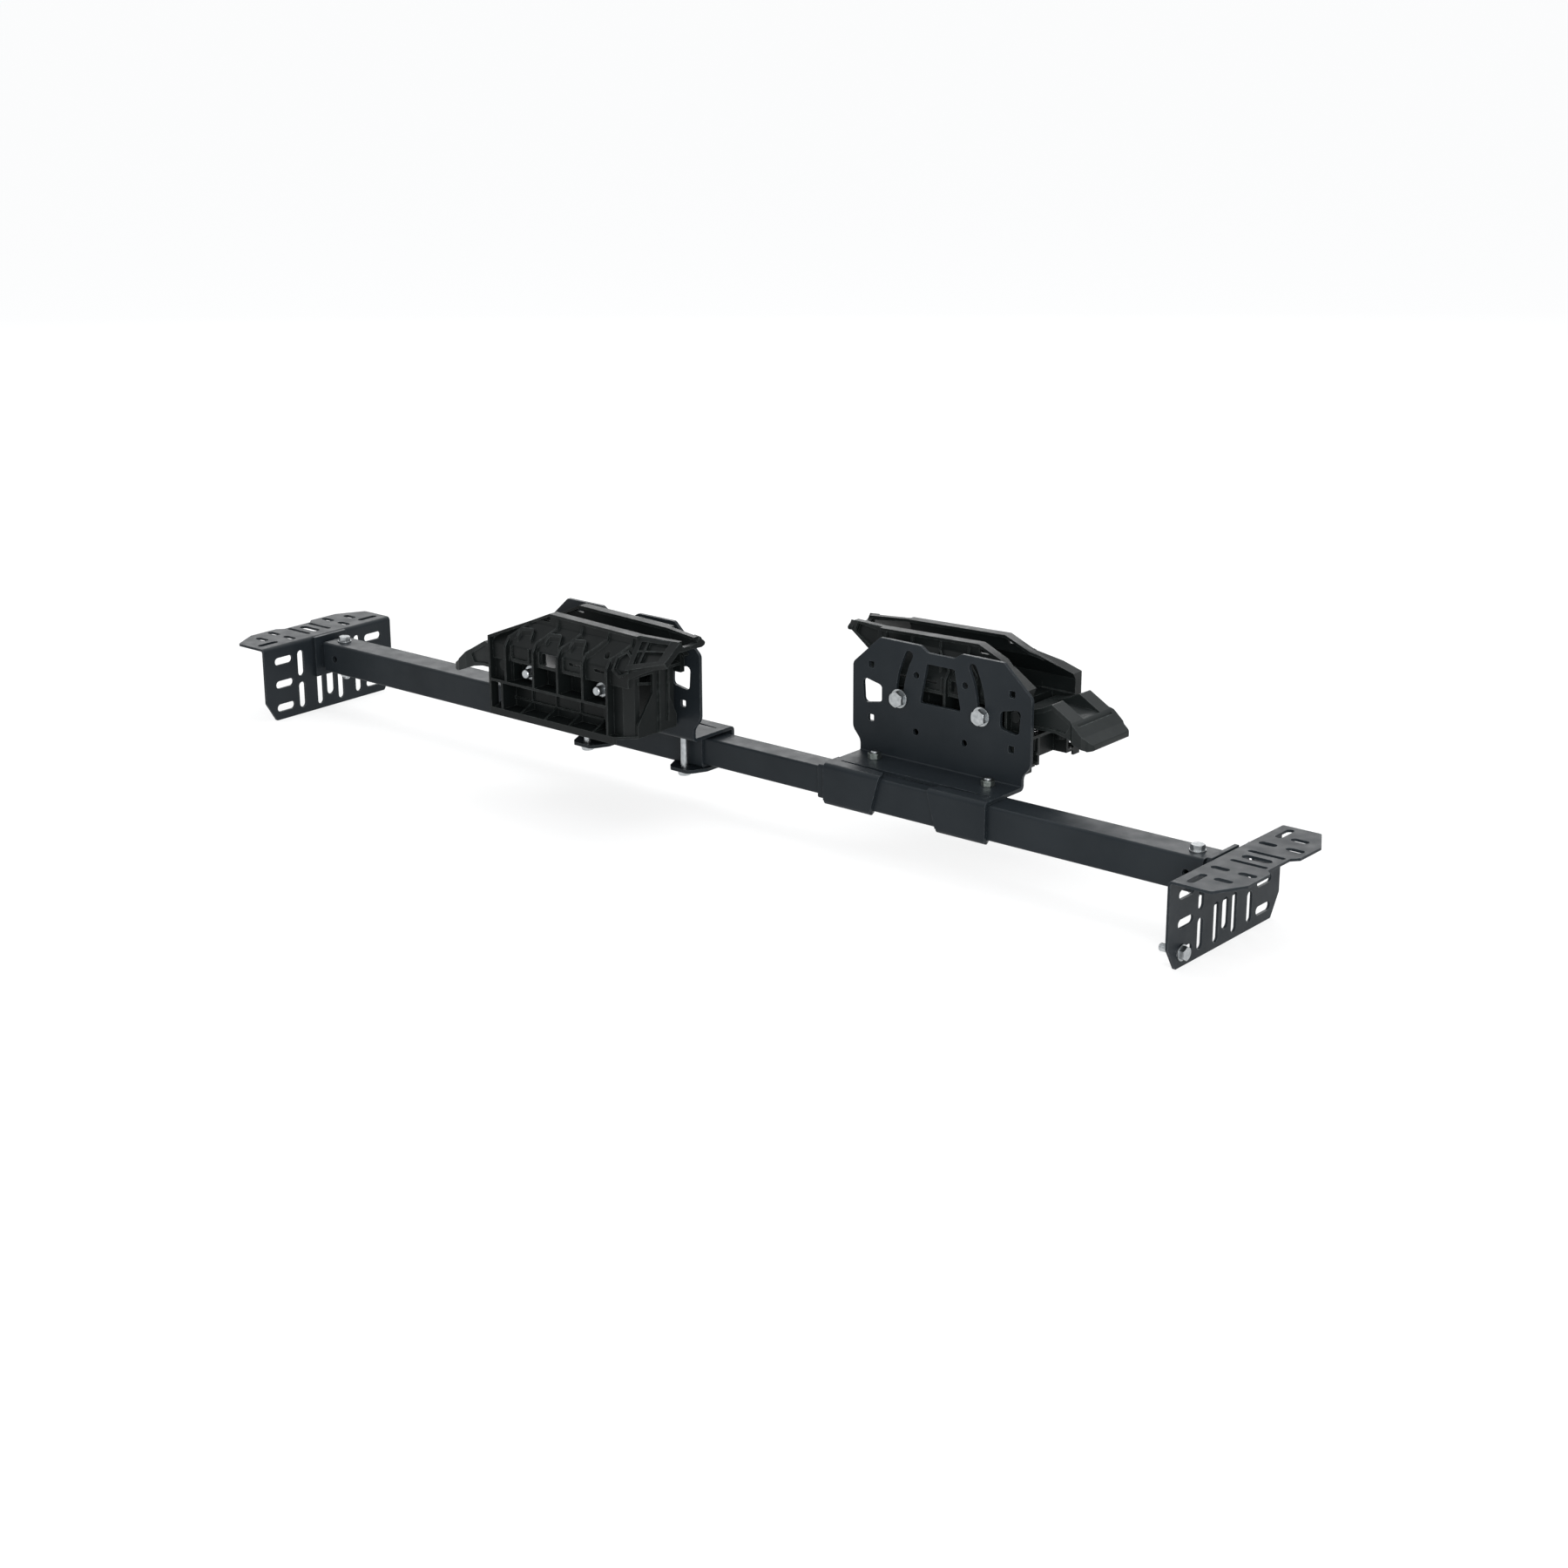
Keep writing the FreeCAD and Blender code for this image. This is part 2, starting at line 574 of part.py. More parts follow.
def cradle_half(near):
    parts = []
    # skin: outer panel, shoulder and slanted wall, then neck and rim
    skin = [
        (PANEL_W, FLOOR_Z - FLOOR_T), (PANEL_W, SHOULDER_Z + 1, 6), (NECK_OUT, NECK_Z, 3),
        (NECK_OUT, NECK_Z + 4), (NECK_IN, NECK_Z + 4), (NECK_IN, NECK_Z - 5), (TROUGH_W, 121.0),
        (TROUGH_W, FLOOR_Z - FLOOR_T),
    ]
    parts.append(prism(skin, "X", BODY_X0, END_X))
    parts.append(loft(rim_section(BODY_X0), BODY_X0, rim_section(RIM_X1), RIM_X1))
    # trough floor with its raised inner end
    parts.append(box(-76, POCKET_X, 0, PANEL_W - 1, FLOOR_Z - FLOOR_T, FLOOR_Z))
    ramp = [(-72, FLOOR_Z - FLOOR_T), (-72, FLOOR_Z), (-80, END_FLOOR_Z), (BODY_X0, END_FLOOR_Z),
            (BODY_X0, END_FLOOR_Z - 3), (-78, END_FLOOR_Z - 3), (-76, FLOOR_Z - FLOOR_T)]
    parts.append(prism(ramp, "Y", 0, TROUGH_W + 3))
    # web, ledge with its raised edge, foot of the web, middle rib
    ledge_z = BASE_Z - LEDGE_T
    parts.append(box(-90, END_X, WEB_W0, WEB_W1, ledge_z, FLOOR_Z - 1))
    parts.append(box(BODY_X0, END_X, WEB_W0, HALF_W, ledge_z, BASE_Z))
    parts.append(box(BODY_X0, -72, 0, WEB_W1, ledge_z, BASE_Z))
    parts.append(box(BODY_X0, END_X, HALF_W - 2.6, HALF_W, SKIRT_Z, BASE_Z))
    parts.append(box(-72, END_X, WEB_W1 - 1, WEB_W1 + 2.2, 53.4, 55.6))
    parts.append(box(-72, END_X, WEB_W1 - 1, HALF_W, MID_RIB_Z - 1.4, MID_RIB_Z + 1.4))
    # latch pocket: inboard wall, side wall, floor and the closure under it
    parts.append(box(POCKET_X - 3, POCKET_X, 0, TROUGH_W + 3, POCKET_Z - 3, FLOOR_Z))
    parts.append(box(POCKET_X - 3, END_X, TROUGH_W, TROUGH_W + 3, POCKET_Z - 3, FLOOR_Z))
    parts.append(box(POCKET_X - 3, END_X, 0, TROUGH_W + 3, POCKET_Z - 3, POCKET_Z))
    parts.append(box(END_X - 20, END_X - 17, 0, HALF_W - 1, ledge_z, POCKET_Z))
    # block that closes the latch end beside the lever
    parts.append(box(END_X - RIB_T, END_X, TROUGH_W, HALF_W, SKIRT_Z, flare_z(END_X)))
    # sloping rim from the straight rim down to the latch end
    for i in range(3):
        parts.append(loft(flare_section(i), FLARE_X[i], flare_section(i + 1), FLARE_X[i + 1]))
    # ribs and the gussets on the ledge
    for x in RIB_X:
        parts.append(lower_rib(x, MID_RIB_Z))
        parts.append(upper_rib(x))
    for x in GUSSET_X:
        gusset = [(WEB_W1 - 1, BASE_Z - 1), (HALF_W - 1, BASE_Z - 1), (HALF_W - 1, BASE_Z + 0.6),
                  (36.5, 51.0, 8), (WEB_W1 - 1, 57)]
        parts.append(prism(gusset, "X", x - 1.1, x + 1.1))
        parts.append(box(x - 1.1, x + 1.1, WEB_W1 - 1, WEB_W1 + 2.2, BASE_Z, MID_RIB_Z))
    x = RIB_X[-1]
    parts.append(box(x - RIB_T / 2.0, x + RIB_T / 2.0, WEB_W1 - 1, HALF_W, ledge_z, MID_RIB_Z))
    # frames around the shallow pockets on the slope
    for x in RIB_X[1:4]:
        outer = [(x - 10, 42, 1), (x - 13.5, 35.6, 3), (x - 32, 34.6, 3), (x - 34, 42, 1)]
        inner = [(x - 12.6, 43), (x - 15.4, 37.6, 2), (x - 30.6, 36.6, 2), (x - 31.8, 43)]
        parts.append(frame_ring(outer, inner))
    # frames around the openings of the outer panel
    for x in RIB_X[1:4]:
        ring = prism(rect(x - 35, x - 5, 103, 121, 3), "Y", PANEL_W - 1, PANEL_W + 2)
        parts.append(ring.cut(prism(rect(x - 33, x - 7.5, 106, 123, 3), "Y", PANEL_W - 2, PANEL_W + 3)))
    # pillar with a slanted face, and the six-sided pocket above it
    pillar = [(-73, 24), (-73, PILLAR_W), (-87, PILLAR_W), (-96, PILLAR_W - 9), (-96, 24)]
    parts.append(prism(pillar, "Z", ledge_z, END_FLOOR_Z))
    ring = hexagon("Y", -91.5, 127, 30, 52, 24.0).cut(hexagon("Y", -91.5, 127, 25, 55, 19.5))
    parts.append(upper_layer(-108, -74).common(ring))
    # inner end plate
    if near:
        plate = [(0, ledge_z), (31.4, ledge_z), (31.4, 56), (20.5, 78), (20.5, END_FLOOR_Z), (0, END_FLOOR_Z)]
    else:
        plate = [(0, ledge_z), (31.4, ledge_z), (31.4, 56), (6.5, 89), (6.5, END_FLOOR_Z), (0, END_FLOOR_Z)]
        parts.append(prism([(6, 97), (27, 101), (27, 104), (6, 100)], "X", BODY_X0 + 3, BODY_X0 + 6))
    parts.append(prism(plate, "X", BODY_X0, BODY_X0 + 3))
    if near:
        # two upright ribs beside the parting line
        parts.append(box(BODY_X0 - 1.8, BODY_X0 + 1, 1.4, 3.6, ledge_z, END_FLOOR_Z))
        parts.append(box(BODY_X0 - 1.8, BODY_X0 + 1, 15.8, 18.0, 52.0, END_FLOOR_Z))
    # lip: the rims close in, each wall opens into a wing and a band joins the two tips
    z = rim_z(BODY_X0)
    parts.append(loft([(RIM_IN, z - RIM_T), (RIM_IN, z), (LIP_RIM, z), (LIP_RIM, z - RIM_T)], BODY_X0,
                      [(9.5, 152), (9.5, 155), (16.5, 155), (16.5, 152)], LIP_X0))
    parts.append(lip_loft(near, BODY_X0 + 1, LIP_X0, 0.0, 1.0, LIP_T, 0.0))
    parts.append(lip_loft(near, LIP_X0 + 7, LIP_X0 - 4, 0.0, 1.04, LIP_T, 1.4))
    parts.append(lip_loft(near, BODY_X0 + 1, LIP_X0 - 3, 0.88, 1.06, LIP_T, 1.4))
    tip = [(0, 144.5), (16, 144.5), (19, 147), (17.5, 150.5), (14, 151.5), (11, 149, 3), (0, 148.5)]
    if near:
        tip = [(0, 144.5), (18, 143.5), (22.5, 145, 2), (24, 148, 2), (20, 151.5, 2), (14, 152.5),
               (11, 149.5, 3), (0, 148.5)]
    parts.append(prism(tip, "X", LIP_X0 - 4, LIP_X0 + 2))
    if not near:
        parts.append(loft([(42.5, 112), (45.3, 112), (46.3, 124.5), (43, 124)], BODY_X0,
                          [(37.4, 133), (39.4, 133.5), (40.2, 136.2), (37.6, 136)], LIP_X0 + 2))
    # sleeves for the tilt bolts
    for x in (-TILT_X, TILT_X):
        reach = HALF_W if near else WEB_W1
        parts.append(rod("Y", x, TILT_Z, 0, reach, 8.5))
    # blind boss for the end of the lever pin
    parts.append(rod("Y", PIN_X, PIN_Z, TROUGH_W, PIN_END + 2.0, 6.0))
    # spring wells in the pocket floor
    for y in SPRING_Y:
        w = abs(y - MID_Y)
        if (y < MID_Y) == near:
            parts.append(rod("Z", SPRING_X, w, SPRING_Z0 - 2.5, POCKET_Z - 1, SPRING_R + 2.6))
    body = fuse_all(parts)

    cuts = []
    # the wall is cut off under the sloping rim at the latch end
    above = [(RIM_X1, flare_z(RIM_X1)), (END_X + 5, flare_z(END_X + 5)), (END_X + 5, 190), (RIM_X1, 190)]
    cuts.append(prism(above, "Y", -5, 60))
    # the latch pocket is clear of web, ribs and floor
    cuts.append(box(POCKET_X, END_X + 1, -1, TROUGH_W, POCKET_Z, 121.0))
    # shallow recess in the outer face of the wing
    cuts.append(lip_loft(near, BODY_X0 - 5, LIP_X0 + 8, 0.14, 0.86, 3.2, 4.0))
    # corner of the ledge at the inner end
    corner = [(-81, 55), (-81, HALF_W), (BODY_X0, HALF_W - 19), (-110, HALF_W - 19), (-110, 55)]
    cuts.append(prism(corner, "Z", SKIRT_Z - 1, BASE_Z + 12))
    for x in (-TILT_X, TILT_X):
        cuts.append(rod("Y", x, TILT_Z, -1, HALF_W + 1, TILT_R + 0.4))
    cuts.append(rod("Y", PIN_X, PIN_Z, -1, PIN_END + 0.1, PIN_R + 0.05))
    for y in SPRING_Y:
        w = abs(y - MID_Y)
        if (y < MID_Y) == near:
            cuts.append(rod("Z", SPRING_X, w, SPRING_Z0 - 0.2, POCKET_Z + 1, SPRING_R + WIRE_R + 0.5))
    # window and slots in the outer panel, holes in the slope
    cuts.append(prism(rect(7, 29, 105.5, 119, 2), "Y", TROUGH_W - 1, PANEL_W + 1))
    for xa, xb in ((-29, -12), (-65, -50)):
        cuts.append(prism(rect(xa, xb, 112.5, 115.5, 1), "Y", TROUGH_W - 1, PANEL_W + 1))
    cuts.append(prism(rect(-67, -60, 35.5, 40, 2), "Z", 122, 150))
    # notch in the base below the latch
    notch = 30.0 if near else 22.5
    cuts.append(box(END_X - 4, END_X + 1, notch, notch + 3.0, ledge_z - 1, BASE_Z + 1))
    body = cut_all(body, cuts)
    # steps low on the trough wall beside the lever
    bench = [(TROUGH_W + 1, 113.4), (TROUGH_W, 113.0), (BENCH_W + 1.0, 111.4), (BENCH_W + 1.0, 105.5),
             (BENCH_W, 104.5), (BENCH_W, 99.5), (BENCH_W + 1.0, 98.5), (TROUGH_W + 1, 98.5)]
    step = prism(bench, "X", BENCH_X0, END_X).cut(rod("Y", PIN_X, PIN_Z, -1, PIN_END + 0.1, PIN_R + 0.05))
    body = body.fuse(step).removeSplitter()
    if not near:
        # shelf across the recess of the larger wing
        body = body.fuse(lip_loft(near, BODY_X0 - 4, LIP_X0 + 7, 0.42, 0.47, 4.0, 0.2))
        body = body.fuse(lip_loft(near, BODY_X0 - 12, BODY_X0 - 14.2, 0.1, 0.9, 4.0, 0.2))
        out = body.removeSplitter()
        out.translate(V(0, MID_Y, 0))
        return out
    mirror = FreeCAD.Matrix()
    mirror.A22 = -1
    mirror.A24 = MID_Y
    return body.transformGeometry(mirror)


near_half = cradle_half(True)
far_half = cradle_half(False)

tilt_bolts = []
tilt_washers = []
tilt_nuts = []
nut_seat = MID_Y + WEB_W1
for x in (-TILT_X, TILT_X):
    tilt_washers.append(washer("Y", x, TILT_Z, up_front - 2.0, up_front, 10.5, 5.2))
    tilt_washers.append(washer("Y", x, TILT_Z, nut_seat, nut_seat + 2.0, 9.5, 5.2))
    tilt_bolts.append(bolt("Y", x, TILT_Z, up_front - 2.0, up_front - 8.4, 144.5, TILT_R, 16.0))
    tilt_nuts.append(nut("Y", x, TILT_Z, nut_seat + 2.0, nut_seat + 10.4, 16.0, TILT_R + 0.05))

# ---- latch lever, pin and springs ---------------------------------------
profile = [
    (PIN_X + 1, PIN_Z + 6.0), (104, 103), (118, 108, 1.5), (130, 114, 2), (156, 99, 2), (161, 95, 1),
    (171, 86, 1), (181, 79, 2), (182, 73, 2), (175, 71.5, 2), (165, 75, 3), (150, 81, 4), (135, 84, 4),
    (97, 84), (PIN_X - 1, PIN_Z - 6.0),
]
lever = prism(profile, "Y", LEVER_Y0 - 4, LEVER_Y1 + 4)
lever = lever.fuse(rod("Y", PIN_X, PIN_Z, LEVER_Y0, LEVER_Y1, 6.1))
lever = lever.removeSplitter()
lever = lever.cut(box(70, 156, ARM_Y0, ARM_Y1, 60, 130))
shelf = [(88, 98.5), (88, 100.5), (104, 101.5), (150, 99.5), (158, 96.5), (158, 79), (152, 82.5), (150, 95.5)]
web = prism(shelf, "Y", ARM_Y0 - 1, ARM_Y1 + 1)
lever = lever.fuse(web).removeSplitter()
plan = [(60, LEVER_Y0), (154, LEVER_Y0), (158, LEVER_Y0 - 3.5), (170, LEVER_Y0 - 3.5), (173, LEVER_Y0 - 1),
        (182.5, LEVER_Y0 + 1, 10), (182.5, LEVER_Y1 - 1, 6), (173, LEVER_Y1 + 1), (170, LEVER_Y1 + 3.5),
        (158, LEVER_Y1 + 3.5), (154, LEVER_Y1), (60, LEVER_Y1)]
lever = lever.common(prism(plan, "Z", 50, 130))
groove = [(158.5, 97), (161, 97), (161.5, 93.2), (159.5, 94.2)]
lever = lever.cut(prism(groove, "Y", LEVER_Y0 + 4, LEVER_Y1 - 4))
recess = [(102, 87, 1), (102, 98, 2), (119, 103, 2), (130, 108.5, 2), (153, 95, 2), (148, 86, 2),
          (134, 87.5, 2)]
for y0, y1 in ((LEVER_Y0 - 1, LEVER_Y0 + 2), (LEVER_Y1 - 2, LEVER_Y1 + 1)):
    lever = lever.cut(prism(recess, "Y", y0, y1))
lever = lever.cut(rod("Y", PIN_X, PIN_Z, LEVER_Y0 - 1, LEVER_Y1 + 1, PIN_R + 0.05))

lever_pin = rod("Y", PIN_X, PIN_Z, MID_Y - PIN_END, MID_Y + PIN_END, PIN_R)

springs = []
for y in SPRING_Y:
    height = SPRING_Z1 - SPRING_Z0 - 2 * WIRE_R
    helix = Part.makeHelix(3.0, height, SPRING_R)
    circle = Part.Wire([Part.makeCircle(WIRE_R, V(SPRING_R, 0, 0), V(0, 1, 0.16))])
    coil = Part.Wire(helix).makePipeShell([circle], True, True)
    coil.translate(V(SPRING_X, y, SPRING_Z0 + WIRE_R))
    springs.append(coil)

for side in ("left", "right"):
    for name, shape in (
        ("saddle_bracket", saddle),
        ("clamp_bolts", Part.makeCompound(clamp_bolts)),
        ("clamp_nuts", Part.makeCompound(clamp_nuts)),
        ("cradle_near_half", near_half),
        ("cradle_far_half", far_half),
        ("tilt_bolts", Part.makeCompound(tilt_bolts)),
        ("tilt_washers", Part.makeCompound(tilt_washers)),
        ("tilt_nuts", Part.makeCompound(tilt_nuts)),
        ("latch_lever", lever),
        ("lever_pin", lever_pin),
        ("lever_springs", Part.makeCompound(springs)),
    ):
        save(side + "_" + name, seat(shape, side))
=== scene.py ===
import json
import math

import bpy
from mathutils import Matrix, Vector


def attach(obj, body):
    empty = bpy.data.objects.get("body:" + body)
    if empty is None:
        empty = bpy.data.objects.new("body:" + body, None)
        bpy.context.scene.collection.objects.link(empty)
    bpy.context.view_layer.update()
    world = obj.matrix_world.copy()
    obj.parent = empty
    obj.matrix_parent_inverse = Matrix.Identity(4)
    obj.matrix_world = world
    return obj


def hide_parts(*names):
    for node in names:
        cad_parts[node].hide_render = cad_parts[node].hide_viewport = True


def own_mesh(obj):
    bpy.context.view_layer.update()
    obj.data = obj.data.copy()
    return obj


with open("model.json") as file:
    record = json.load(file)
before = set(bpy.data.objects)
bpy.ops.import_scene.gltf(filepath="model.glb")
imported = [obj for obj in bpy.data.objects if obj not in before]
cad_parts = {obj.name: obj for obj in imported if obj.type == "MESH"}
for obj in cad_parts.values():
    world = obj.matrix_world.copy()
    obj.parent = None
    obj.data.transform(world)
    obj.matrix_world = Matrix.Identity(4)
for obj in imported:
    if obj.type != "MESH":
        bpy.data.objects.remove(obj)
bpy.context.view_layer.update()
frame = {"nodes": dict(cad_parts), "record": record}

MM = 0.001
NODES = frame["nodes"]


# ---- camera, light and floor --------------------------------------------
CAMERA_PLACE = (1.90292, -2.17344, 0.97545)
CAMERA_AZIMUTH, CAMERA_ELEVATION, CAMERA_ROLL = 39.735, 18.154, -0.205
CAMERA_LENS = 61.9
HORIZON_Z, HORIZON_STRENGTH = 0.05, 0.22
OVERHEAD_Z, OVERHEAD_STRENGTH = 0.55, 0.95
FLOOR_HALF = 40.0
MIDDLE = (0, 0, 0.1)
LIGHTS = (  # name, place, target, size, watts
    ("top", (0.0, 0.9, 2.6), MIDDLE, (2.6, 1.6), 32),
    ("back", (-2.05, 2.46, 1.45), MIDDLE, (3.2, 0.9), 43),
    ("key", (-2.4, -1.0, 1.9), MIDDLE, (0.9, 1.4), 7),
    ("side", (2.9, 0.2, 1.0), MIDDLE, (1.0, 1.2), 7),
    ("front", (1.7, -1.5, 0.75), (0.45, 0, 0.1), (1.2, 0.8), 30),
)


def make_camera():
    azimuth, elevation, roll = (math.radians(a) for a in (CAMERA_AZIMUTH, CAMERA_ELEVATION, CAMERA_ROLL))
    back = Vector((math.sin(azimuth) * math.cos(elevation), -math.cos(azimuth) * math.cos(elevation),
                   math.sin(elevation)))
    side = Vector((math.cos(azimuth), math.sin(azimuth), 0.0))
    up = back.cross(side)
    right = math.cos(roll) * side + math.sin(roll) * up
    top = -math.sin(roll) * side + math.cos(roll) * up
    data = bpy.data.cameras.new("camera")
    data.sensor_width = 36.0
    data.lens = CAMERA_LENS
    data.clip_start = 0.05
    data.clip_end = 50.0
    cam = bpy.data.objects.new("camera", data)
    bpy.context.scene.collection.objects.link(cam)
    turn = Matrix((right, top, back)).transposed()
    cam.matrix_world = Matrix.Translation(CAMERA_PLACE) @ turn.to_4x4()
    bpy.context.scene.camera = cam


def make_area(name, where, target, size, power):
    data = bpy.data.lights.new(name, "AREA")
    data.shape = "RECTANGLE"
    data.size, data.size_y = size
    data.energy = power
    lamp = bpy.data.objects.new(name, data)
    bpy.context.scene.collection.objects.link(lamp)
    lamp.location = where
    lamp.rotation_euler = (Vector(target) - Vector(where)).to_track_quat("-Z", "Y").to_euler()


def make_world():
    """Dim at the horizon, bright overhead, so that upright faces stay dark."""
    world = bpy.data.worlds.new("studio")
    world.use_nodes = True
    tree = world.node_tree
    sky = tree.nodes["Background"]
    where = tree.nodes.new("ShaderNodeTexCoord")
    split = tree.nodes.new("ShaderNodeSeparateXYZ")
    ramp = tree.nodes.new("ShaderNodeMapRange")
    for key, value in (("From Min", HORIZON_Z), ("From Max", OVERHEAD_Z),
                       ("To Min", HORIZON_STRENGTH), ("To Max", OVERHEAD_STRENGTH)):
        ramp.inputs[key].default_value = value
    tree.links.new(where.outputs["Generated"], split.inputs["Vector"])
    tree.links.new(split.outputs["Z"], ramp.inputs["Value"])
    tree.links.new(ramp.outputs["Result"], sky.inputs["Strength"])
    sky.inputs["Color"].default_value = (0.96, 0.98, 1.0, 1.0)
    bpy.context.scene.world = world


def make_floor():
    """Pale floor, large enough to fill the main camera's view."""
    mesh = bpy.data.meshes.new("floor")
    r = FLOOR_HALF
    mesh.from_pydata([(-r, -r, 0), (r, -r, 0), (r, r, 0), (-r, r, 0)], [], [(0, 1, 2, 3)])
    floor = bpy.data.objects.new("floor", mesh)
    bpy.context.scene.collection.objects.link(floor)
    mat = bpy.data.materials.new("floor")
    mat.use_nodes = True
    shader = mat.node_tree.nodes["Principled BSDF"]
    shader.inputs["Base Color"].default_value = (0.25, 0.25, 0.25, 1)
    shader.inputs["Roughness"].default_value = 1.0
    shader.inputs["Specular IOR Level"].default_value = 0.0
    shader.inputs["Emission Color"].default_value = (1.0, 1.0, 1.0, 1)
    shader.inputs["Emission Strength"].default_value = 0.76
    mesh.materials.append(mat)


bpy.context.scene.view_settings.view_transform = "Standard"
make_camera()
make_world()
make_floor()
for light in LIGHTS:
    make_area(*light)


# ---- materials ----------------------------------------------------------
class Maker:
    """Small helper for wiring a procedural material."""

    def __init__(self, name, color, metallic, roughness):
        self.mat = bpy.data.materials.new(name)
        self.mat.use_nodes = True
        self.tree = self.mat.node_tree
        self.shader = self.tree.nodes["Principled BSDF"]
        self.shader.inputs["Base Color"].default_value = (*color, 1)
        self.shader.inputs["Metallic"].default_value = metallic
        self.shader.inputs["Roughness"].default_value = roughness
        self.coords = self.node("ShaderNodeTexCoord").outputs["Object"]

    def node(self, kind, **values):
        n = self.tree.nodes.new(kind)
        for key, value in values.items():
            setattr(n, key, value)
        return n

    def link(self, a, b):
        self.tree.links.new(a, b)

    def noise(self, scale, detail=3.0, stretch=None):
        n = self.node("ShaderNodeTexNoise")
        n.inputs["Scale"].default_value = scale
        n.inputs["Detail"].default_value = detail
        source = self.coords
        if stretch:
            m = self.node("ShaderNodeMapping")
            m.inputs["Scale"].default_value = stretch
            self.link(self.coords, m.inputs["Vector"])
            source = m.outputs["Vector"]
        self.link(source, n.inputs["Vector"])
        return n.outputs["Fac"]

    def spread(self, value, from_lo, from_hi, to_lo, to_hi):
        r = self.node("ShaderNodeMapRange")
        for key, v in zip(("From Min", "From Max", "To Min", "To Max"), (from_lo, from_hi, to_lo, to_hi)):
            r.inputs[key].default_value = v
        self.link(value, r.inputs["Value"])
        return r.outputs["Result"]

    def blend_color(self, fac, a, b):
        m = self.node("ShaderNodeMix", data_type="RGBA")
        m.inputs["A"].default_value = (*a, 1)
        m.inputs["B"].default_value = (*b, 1)
        self.link(fac, m.inputs["Factor"])
        return m.outputs["Result"]

    def bump(self, height, strength, distance, normal=None):
        b = self.node("ShaderNodeBump")
        b.inputs["Strength"].default_value = strength
        b.inputs["Distance"].default_value = distance
        self.link(height, b.inputs["Height"])
        if normal:
            self.link(normal, b.inputs["Normal"])
        return b.outputs["Normal"]


def edge_mask(m, radius):
    """1 on convex edges, which take worn colour and a painted highlight, 0 on flats, broken up by noise."""
    bevel = m.node("ShaderNodeBevel", samples=4)
    bevel.inputs["Radius"].default_value = radius
    geometry = m.node("ShaderNodeNewGeometry")
    dot = m.node("ShaderNodeVectorMath", operation="DOT_PRODUCT")
    m.link(bevel.outputs["Normal"], dot.inputs[0])
    m.link(geometry.outputs["Normal"], dot.inputs[1])
    turn = m.spread(dot.outputs["Value"], 0.995, 0.86, 0.0, 1.0)
    both = m.node("ShaderNodeMath", operation="MULTIPLY")
    m.link(turn, both.inputs[0])
    m.link(m.spread(m.noise(180.0, 4.0), 0.42, 0.62, 0.25, 1.0), both.inputs[1])
    return both.outputs["Value"]


def coated(name, dark, light, edge_wear_and_highlight, roughness, grain, depth, gloss):
    """Powder coat or moulded plastic: orange-peel bump, cloudy tone, edges lightened as rubbed wear and
    painted highlight.
    """
    m = Maker(name, dark, 0.0, roughness)
    m.shader.inputs["Specular IOR Level"].default_value = gloss
    cloud = m.noise(14.0, 4.0)
    tone = m.spread(cloud, 0.3, 0.7, 0.0, 1.0)
    body = m.blend_color(tone, dark, light)
    # Convex edges take the lighter edge colour: rubbed wear plus a painted highlight.
    edge_wear_and_highlight_mix = m.node("ShaderNodeMix", data_type="RGBA")
    m.link(edge_mask(m, 0.0012), edge_wear_and_highlight_mix.inputs["Factor"])
    m.link(body, edge_wear_and_highlight_mix.inputs["A"])
    edge_wear_and_highlight_mix.inputs["B"].default_value = (*edge_wear_and_highlight, 1)
    m.link(edge_wear_and_highlight_mix.outputs["Result"], m.shader.inputs["Base Color"])
    uneven = m.spread(m.noise(60.0, 5.0), 0.3, 0.7, roughness - 0.05, roughness + 0.07)
    m.link(uneven, m.shader.inputs["Roughness"])
    coarse = m.bump(m.noise(grain, 2.0), 0.5, depth)
    m.link(m.bump(m.noise(900.0, 2.0), 0.25, depth * 0.3, coarse), m.shader.inputs["Normal"])
    return m.mat


# Painted shade: upward faces of plated steel are darkened to this share of the dark tone.
UPWARD_PAINTED_SHADE = 0.42


def zinc(name, dark, light, roughness):
    """Plated steel: blotchy tone, painted shade darkening upward faces, fine scratches, uneven gloss."""
    m = Maker(name, light, 1.0, roughness)
    facing = m.node("ShaderNodeSeparateXYZ")
    m.link(m.node("ShaderNodeNewGeometry").outputs["Normal"], facing.inputs["Vector"])
    # Painted shade: the colour is mixed darker on faces turned upward.
    upward_painted_shade_mix = m.node("ShaderNodeMix", data_type="RGBA")
    m.link(m.spread(facing.outputs["Z"], 0.5, 0.95, 0.0, 1.0), upward_painted_shade_mix.inputs["Factor"])
    blotches = m.spread(m.noise(260.0, 4.0), 0.35, 0.65, 0, 1)
    m.link(m.blend_color(blotches, dark, light), upward_painted_shade_mix.inputs["A"])
    upward_painted_shade_mix.inputs["B"].default_value = (*(UPWARD_PAINTED_SHADE * c for c in dark), 1)
    m.link(upward_painted_shade_mix.outputs["Result"], m.shader.inputs["Base Color"])
    uneven = m.spread(m.noise(420.0, 3.0), 0.3, 0.7, roughness - 0.06, roughness + 0.1)
    m.link(uneven, m.shader.inputs["Roughness"])
    m.link(m.bump(m.noise(500.0, 3.0, (0.2, 1.0, 1.0)), 0.2, 0.00005), m.shader.inputs["Normal"])
    return m.mat
